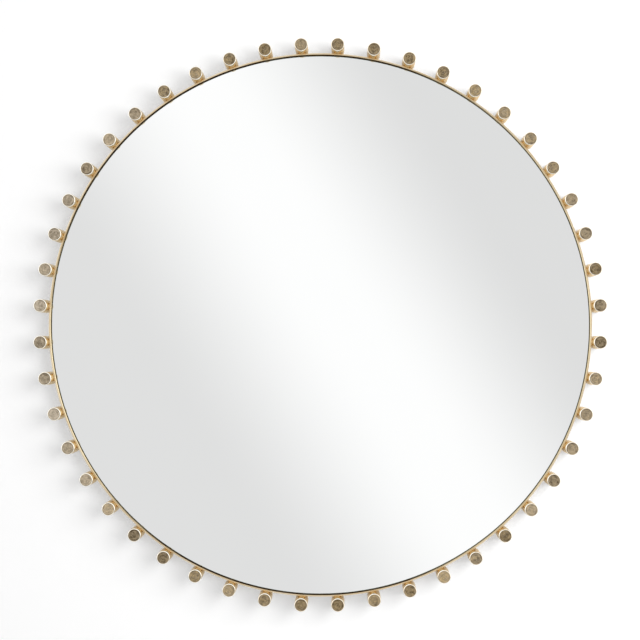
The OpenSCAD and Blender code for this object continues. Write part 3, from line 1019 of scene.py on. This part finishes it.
# %% Set the screws
WIRE_R = 1.6 * MM
STRAP_T, STRAP_W = 1.0 * MM, 14 * MM
EYE_GAP = 0.3 * MM
BEND_R, LOOP_R = 3 * MM, 12.5 * MM
TAB_REACH = 22 * MM
pivots = {j["child"]: Vector(j["pos_m"]) for j in frame["joints"]}
SCREW_CLEAR, SCREW_PITCH, STRAP_END = 2 * MM, 12 * MM, 6 * MM
first_screw = BEND_R + LOOP_R + WIRE_R + HEAD_R + SCREW_CLEAR
strap_screws = (first_screw, first_screw + SCREW_PITCH)
strap_len = strap_screws[1] + STRAP_END
turn_chance = random.Random(12)


def set_screws(name, places, *nodes):
    """Joins one screw at each place, which is the middle of its head's underside."""
    work = bmesh.new()
    for place in places:
        one = screw_mesh.copy()
        spin = Matrix.Rotation(turn_chance.uniform(0, math.pi), 4, "Y")
        one.transform(Matrix.Translation(place) @ spin)
        work.from_mesh(one)
        bpy.data.meshes.remove(one)
    return add_piece(name, to_mesh(name, work), [zinc], "mirror", "zinc", *nodes)


tab_hole_r = ring_in - TAB_REACH / 2
tab_places = [on_hoop(angle, tab_hole_r, tab_back) for angle in tab_angles]
set_screws("tab_screws_set", tab_places, "tab_screws")
plate_back = board_back - 2 * STRAP_T
strap_places = [
    Vector((pivot.x, -plate_back, pivot.z - down))
    for pivot in pivots.values() for down in strap_screws
]
set_screws("hanger_screws_set", strap_places, "hanger_screws")
print("screws", len(tab_places), "in tabs and", len(strap_places), "in straps")

# %% [markdown]
# A strap hanger starts as a flat blank with two rounded ends and four holes, which a press folds
# double round the D-ring's wire. Modelling the folded shape straight away is hard to get even, so the
# press is copied: fold says where a point of the flat blank goes. It follows the lower layer up, goes
# round the eye, and comes back down through the neck on top of the lower layer.

# %% The blank of a strap
eye_mid = WIRE_R + EYE_GAP + STRAP_T / 2
eye_depth = WIRE_R + EYE_GAP + STRAP_T
neck_r = 1.0 * MM
neck_drop = neck_r + 1.5 * STRAP_T - eye_depth
neck_back = math.sqrt((eye_mid + neck_r) ** 2 - neck_drop**2)
neck_turn = math.asin(-neck_drop / (eye_mid + neck_r))
eye_run = eye_mid * (1.5 * math.pi + neck_turn)
neck_run = neck_r * (math.pi / 2 + neck_turn)
top_run = strap_len - neck_back
blank_len = strap_len + eye_run + neck_run + top_run


def fold(s):
    """Place on the folded strap, as (up, out of the board), of a distance along the blank."""
    if s < strap_len:
        return s - strap_len, STRAP_T / 2
    s -= strap_len
    if s < eye_run:
        turn = s / eye_mid - math.pi / 2
        return eye_mid * math.cos(turn), eye_depth + eye_mid * math.sin(turn)
    s -= eye_run
    if s < neck_run:
        turn = neck_turn - s / neck_r
        return neck_r * math.cos(turn) - neck_back, 1.5 * STRAP_T + neck_r + neck_r * math.sin(turn)
    return -neck_back - (s - neck_run), 1.5 * STRAP_T


print("blank length", round(blank_len * 1000, 1), "mm, folded ends", fold(0), fold(blank_len))

# %% [markdown]
# The blank is drawn flat. Its holes could be cut by a Boolean, but triangle_fill fills an outline and
# leaves its holes open by itself. bisect_plane then cuts the sheet across where it will bend, and
# each point is moved by fold.

# %% Draw and fold a blank
HOLE_R = 1.85 * MM
CUT_STEP = 0.3 * MM


def circle(x, s, radius, first, last, steps):
    turns = [math.radians(first + (last - first) * i / steps) for i in range(steps)]
    return [(x + radius * math.cos(t), s + radius * math.sin(t)) for t in turns]


def folded_strap(name, pivot):
    """The strap's mesh, its eye round the pivot and its plate on the board."""
    half = STRAP_W / 2
    loops = [circle(0, half, half, 180, 360, 24) + [(half, half)]]
    loops[0] += circle(0, blank_len - half, half, 0, 180, 24) + [(-half, blank_len - half)]
    for down in strap_screws:
        for s in (strap_len - down, blank_len - strap_len + down):
            loops.append(circle(0, s, HOLE_R, 0, 360, 32))
    work = bmesh.new()
    for loop in loops:
        ring = [work.verts.new((x, s, 0)) for x, s in loop]
        for i in range(len(ring)):
            work.edges.new((ring[i - 1], ring[i]))
    bmesh.ops.triangle_fill(work, edges=work.edges[:], use_beauty=True)
    cuts = int((eye_run + neck_run) / CUT_STEP) + 1
    for i in range(cuts + 1):
        at_s = strap_len + (eye_run + neck_run) * i / cuts
        everything = work.verts[:] + work.edges[:] + work.faces[:]
        bmesh.ops.bisect_plane(work, geom=everything, plane_co=(0, at_s, 0), plane_no=(0, 1, 0))
    for v in work.verts:
        up, out = fold(v.co.y)
        v.co = Vector((pivot.x + v.co.x, out - board_back, pivot.z + up))
    bmesh.ops.recalc_face_normals(work, faces=work.faces)
    return to_mesh(name, work)


print("cuts across the bend", int((eye_run + neck_run) / CUT_STEP) + 1)

# %% [markdown]
# So far a strap is a sheet without thickness. A Solidify modifier makes it just under 1 mm thick, so
# that a hairline shows between the two layers, and a Bevel modifier breaks its sheared edges.

# %% The straps
HAIRLINE = 0.04 * MM


def add_strap(side):
    node = "hanger_strap_" + side
    piece = add_piece(
        node + "_folded", folded_strap(node, pivots[side + "_d_ring"]), [zinc], "mirror", "zinc", node
    )
    piece.modifiers.remove(piece.modifiers[0])
    sheet = piece.modifiers.new("sheet", "SOLIDIFY")
    sheet.thickness = STRAP_T - HAIRLINE
    sheet.offset = 0
    ease = piece.modifiers.new("ease", "BEVEL")
    ease.width = 0.15 * MM
    ease.segments = 2
    ease.angle_limit = SHARP
    piece.modifiers.new("keep_flats_flat", "WEIGHTED_NORMAL")
    return piece


straps = [add_strap(side) for side in ("left", "right")]
print("straps", [s.name for s in straps])

# %% [markdown]
# A D-ring is bent from wire: a straight bar, two tight corners and a half round loop. A circle could
# be swept along it point by point, as for the weld beads, but a curve with a round bevel is the
# natural way to make wire. Each D-ring rides on its own body, hangs down beside its strap and leans
# on it a little, with its bar in the strap's eye.

# %% The D-rings
REST_GAP = 0.4 * MM
lean_reach = BEND_R + math.sqrt(LOOP_R**2 - STRAP_W**2 / 4)
lean = math.asin((2 * STRAP_T + REST_GAP + WIRE_R - eye_depth) / lean_reach)


def wire_line():
    """The D-ring's centre line as (across, up), once round."""
    bar = LOOP_R - BEND_R
    line = [(bar * (2 * i / 8 - 1), 0.0) for i in range(8)]
    line += circle(bar, -BEND_R, BEND_R, 90, 0, 10)
    line += circle(0, -BEND_R, LOOP_R, 0, -180, 64)
    line += circle(-bar, -BEND_R, BEND_R, 180, 90, 10)
    return line


def add_d_ring(side):
    body = side + "_d_ring"
    pivot = pivots[body]
    curve = bpy.data.curves.new("d_ring_" + side, "CURVE")
    curve.dimensions = "3D"
    curve.bevel_depth = WIRE_R
    curve.bevel_resolution = 7
    line = wire_line()
    spline = curve.splines.new("POLY")
    spline.points.add(len(line) - 1)
    for point, (across_wire, up) in zip(spline.points, line):
        out_of_board = -up * math.sin(lean)
        place = Vector((pivot.x + across_wire, pivot.y + out_of_board, pivot.z + up * math.cos(lean)))
        point.co = (*place, 1.0)
    spline.use_cyclic_u = True
    spline.use_smooth = True
    return add_piece("d_ring_" + side, curve, [zinc], body, "zinc", "hanger_ring_" + side)


d_rings = [add_d_ring(side) for side in ("left", "right")]
print("d-rings", [d.name for d in d_rings], "lean", round(math.degrees(lean), 2))

# %% [markdown]
# The stage is a white wall that the mirror hangs on and a pale floor. More light would make the wall
# white, but it would burn out the gold as well. So the wall adds a share of its own white to the
# light that falls on it, and still holds a soft shadow. It can't be seen from behind, and light that
# has come less than 3 mm goes through it, so that what touches the wall is lit in views of the back.

# %% Finishes of the stage
NEAR = 3 * MM


def stage_finish(name, reflects, glows, open_behind):
    made = bpy.data.materials.new(name)
    made.use_nodes = True
    tree = made.node_tree
    tree.nodes.clear()
    light = put(tree, "LightPath").outputs
    seen = calc(tree, "MAXIMUM", light["Is Camera Ray"], light["Is Glossy Ray"])
    seen = calc(tree, "MAXIMUM", seen, light["Is Transmission Ray"])
    strength = calc(tree, "MULTIPLY", seen, glows)
    matt = put(tree, "BsdfDiffuse", {"Color": (reflects, reflects, reflects, 1.0)}).outputs[0]
    glow = put(tree, "Emission", {"Strength": strength}).outputs[0]
    surface = put(tree, "AddShader", [matt, glow]).outputs[0]
    if open_behind:
        behind = put(tree, "NewGeometry").outputs["Backfacing"]
        close = calc(tree, "LESS_THAN", light["Ray Length"], NEAR)
        close = calc(tree, "MULTIPLY", close, calc(tree, "SUBTRACT", 1.0, light["Is Camera Ray"]))
        clear = calc(tree, "MAXIMUM", behind, close)
        nothing = put(tree, "BsdfTransparent").outputs[0]
        surface = put(tree, "MixShader", [clear, surface, nothing]).outputs[0]
    put(tree, "OutputMaterial", {"Surface": surface})
    return made


white_wall = stage_finish("white wall", reflects=0.82, glows=0.28, open_behind=True)
pale_floor = stage_finish("pale floor", reflects=0.6, glows=0.34, open_behind=False)
print("stage finishes", white_wall.name, "and", pale_floor.name)

# %% [markdown]
# The wall is a wide flat ring. A plane would do from the front, but it would keep the light from the
# back of the mirror, so the wall has a hole a little smaller than the hoop.

# %% The wall and the floor
WALL_Y = 0.5 * MM
HOLE_R_IN_WALL = ring_in - 5 * MM
WALL_R = 6.0
WALL_STEPS = 96
FLOOR_Z = -1.45
FLOOR_HALF, FLOOR_REACH = 9.0, 4.0


def add_stage(name, mesh, finish):
    made = bpy.data.objects.new(name, mesh)
    bpy.context.scene.collection.objects.link(made)
    mesh.materials.append(finish)
    return made


turns = [2 * math.pi * i / WALL_STEPS for i in range(WALL_STEPS)]
wall_points = [on_hoop(t, out, -WALL_Y) for out in (HOLE_R_IN_WALL, WALL_R) for t in turns]
wall_faces = []
for i in range(WALL_STEPS):
    before = (i - 1) % WALL_STEPS
    wall_faces.append((before, i, WALL_STEPS + i, WALL_STEPS + before))
wall_mesh = bpy.data.meshes.new("wall")
wall_mesh.from_pydata(wall_points, [], wall_faces)
if wall_mesh.polygons[0].normal.y > 0:
    wall_mesh.flip_normals()
add_stage("wall", wall_mesh, white_wall)

corners = [(-FLOOR_HALF, -FLOOR_REACH), (FLOOR_HALF, -FLOOR_REACH), (FLOOR_HALF, 0), (-FLOOR_HALF, 0)]
floor_mesh = bpy.data.meshes.new("floor")
floor_mesh.from_pydata([(x, y, FLOOR_Z) for x, y in corners], [], [(0, 1, 2, 3)])
add_stage("floor", floor_mesh, pale_floor)
print("wall at", WALL_Y, "floor at", FLOOR_Z)

# %% [markdown]
# The camera stands where the photographer's stood: 2.3 m away, nearly on the mirror's centre line but
# 4 cm to the right of it and 3 cm lower. A short telephoto lens from there shows the inner side of
# every peg. A longer lens from further off would show less of it, and an orthographic one none.

# %% The camera
CAMERA_AT = Vector((0.041, -2.32, -0.033))
CAMERA_LOOKS_AT = Vector((0.0006, -0.030, 0.0062))
camera_data = bpy.data.cameras.new("camera")
camera_data.lens = 85
camera_data.sensor_width = 36
camera = bpy.data.objects.new("camera", camera_data)
bpy.context.scene.collection.objects.link(camera)
camera.location = CAMERA_AT
camera.rotation_mode = "QUATERNION"
camera.rotation_quaternion = (CAMERA_LOOKS_AT - CAMERA_AT).to_track_quat("-Z", "Y")
bpy.context.scene.camera = camera
print("camera at", tuple(CAMERA_AT))

# %% [markdown]
# A mirror shows whatever faces it, so the studio's light is what gives it its look: a broad white band
# that runs from top left to bottom right and falls off softly to light grey on both sides. Big lit
# cards in front of the mirror would do it, but they would stand in the camera's way. The world can
# hold the band instead, by direction alone. Directions are measured as seen in the glass, and the
# band is a colour ramp across them.

# %% The band of light
BAND_TILT = math.radians(32)
BAND_GREY_LEFT, BAND_WHITE, BAND_GREY_RIGHT = 0.775, 1.035, 0.762
BAND_STOPS = (-0.1092, 0.0066, 0.0265, 0.1357)
STEEPEST = 0.05

world = bpy.data.worlds.new("studio")
bpy.context.scene.world = world
world.use_nodes = True
tree = world.node_tree
tree.nodes.clear()
away = put(tree, "SeparateXYZ", [put(tree, "TexCoord").outputs["Generated"]]).outputs
toward_camera = calc(tree, "MULTIPLY", away["Y"], -1.0)
forward = calc(tree, "MAXIMUM", toward_camera, STEEPEST)
to_centre = Vector((0, -glass_front, 0)) - CAMERA_AT
right_of = calc(tree, "SUBTRACT", calc(tree, "DIVIDE", away["X"], forward), to_centre.x / to_centre.y)
above = calc(tree, "SUBTRACT", calc(tree, "DIVIDE", away["Z"], forward), to_centre.z / to_centre.y)
across_band = calc(tree, "MULTIPLY", above, math.sin(BAND_TILT))
across_band = calc(tree, "MULTIPLY_ADD", right_of, math.cos(BAND_TILT), across_band)
first, last = BAND_STOPS[0], BAND_STOPS[-1]
along_ramp = put(tree, "MapRange", {"Value": across_band, "From Min": first, "From Max": last}).outputs[0]
ramp = put(tree, "ValToRGB", [along_ramp])
ramp.color_ramp.interpolation = "EASE"
greys = (BAND_GREY_LEFT, BAND_WHITE, BAND_WHITE, BAND_GREY_RIGHT)
while len(ramp.color_ramp.elements) < len(greys):
    ramp.color_ramp.elements.new(0.5)
for element, stop, grey in zip(ramp.color_ramp.elements, BAND_STOPS, greys):
    element.position = (stop - first) / (last - first)
    element.color = (grey, grey, grey, 1.0)
print("band of light, tilted", round(math.degrees(BAND_TILT)), "degrees")

# %% [markdown]
# Further from the mirror's axis than the glass can show, the studio changes: it is bright to the left
# and right and dimmer above and below. That contrast gives the gold its shape, because each peg
# reflects all of it round its own side. Even light all round would make the pegs look flat.
#
# All this is for reflections only. Light that falls on the wall comes from an even grey, and where
# nothing else is in view the camera sees white.

# %% The studio around the band
AMBIENT = 0.62
EDGE_OF_BAND, FULL_SURROUND = math.radians(11.2), math.radians(15)
PANELS_FROM, PANELS_FULL = math.radians(30), math.radians(50)
SIDES = (1.05, 1.60)
TOP_AND_BOTTOM = (0.70, 1.30)
UPRIGHT_FROM, UPRIGHT_FULL = 0.30, 0.85

off_axis = between(tree, toward_camera, math.cos(EDGE_OF_BAND), math.cos(FULL_SURROUND))
squares = [calc(tree, "POWER", away[axis], 2.0) for axis in ("X", "Z")]
flat_out = calc(tree, "MAXIMUM", calc(tree, "SQRT", calc(tree, "ADD", *squares)), 0.001)
upright = calc(tree, "DIVIDE", calc(tree, "ABSOLUTE", away["Z"]), flat_out)
upright = between(tree, upright, UPRIGHT_FROM, UPRIGHT_FULL)
far_off = between(tree, flat_out, math.sin(PANELS_FROM), math.sin(PANELS_FULL))
level = [
    calc(tree, "MULTIPLY_ADD", far_off, wide - near, near) for near, wide in (SIDES, TOP_AND_BOTTOM)
]
around = calc(tree, "MULTIPLY_ADD", upright, calc(tree, "SUBTRACT", level[1], level[0]), level[0])
surround = put(tree, "CombineXYZ", [around, around, around]).outputs[0]
studio = tint(tree, off_axis, ramp.outputs["Color"], surround)
light = put(tree, "LightPath").outputs
plain = (AMBIENT, AMBIENT, AMBIENT, 1.0)
reflected = tint(tree, light["Is Glossy Ray"], plain, studio)
direct = calc(tree, "MAXIMUM", light["Is Camera Ray"], light["Is Transmission Ray"])
shown = tint(tree, direct, reflected, (1.0, 1.0, 1.0, 1.0))
sky = put(tree, "Background", {"Color": shown, "Strength": 1.0}).outputs[0]
put(tree, "OutputWorld", {"Surface": sky})
print("world ready, ambient", AMBIENT)

# %% [markdown]
# One broad soft lamp stands to the right and a little above, at about 50 degrees to the wall. It
# makes the soft shadows to the left of the pegs, which a sun or a small lamp would make too hard. A
# weaker one lights the back, for views from behind. What the metal reflects is the world, so neither
# lamp shows in it.

# %% The lamps
LAMP_AWAY = 2.4
KEY_DIRECTION = Vector((0.62, -0.766, 0.166))
BACK_DIRECTION = Vector((-0.45, 0.75, 0.5))


def add_lamp(name, direction, size, watts):
    data = bpy.data.lights.new(name, "AREA")
    data.shape = "DISK"
    data.size = size
    data.energy = watts
    lamp = bpy.data.objects.new(name, data)
    bpy.context.scene.collection.objects.link(lamp)
    lamp.location = direction.normalized() * LAMP_AWAY
    lamp.rotation_mode = "QUATERNION"
    lamp.rotation_quaternion = (-direction).to_track_quat("-Z", "Y")
    lamp.visible_camera = False
    lamp.visible_glossy = False
    return lamp


lamps = [
    add_lamp("key", KEY_DIRECTION, size=1.9, watts=37),
    add_lamp("back", BACK_DIRECTION, size=1.6, watts=22),
]
print("lamps", [lamp.name for lamp in lamps])

# %% [markdown]
# A film look such as AgX would bend the whites of the wall and the glass, so colours go out as they
# are written, with the plain view transform.

# %% Finish
bpy.context.scene.view_settings.view_transform = "Standard"
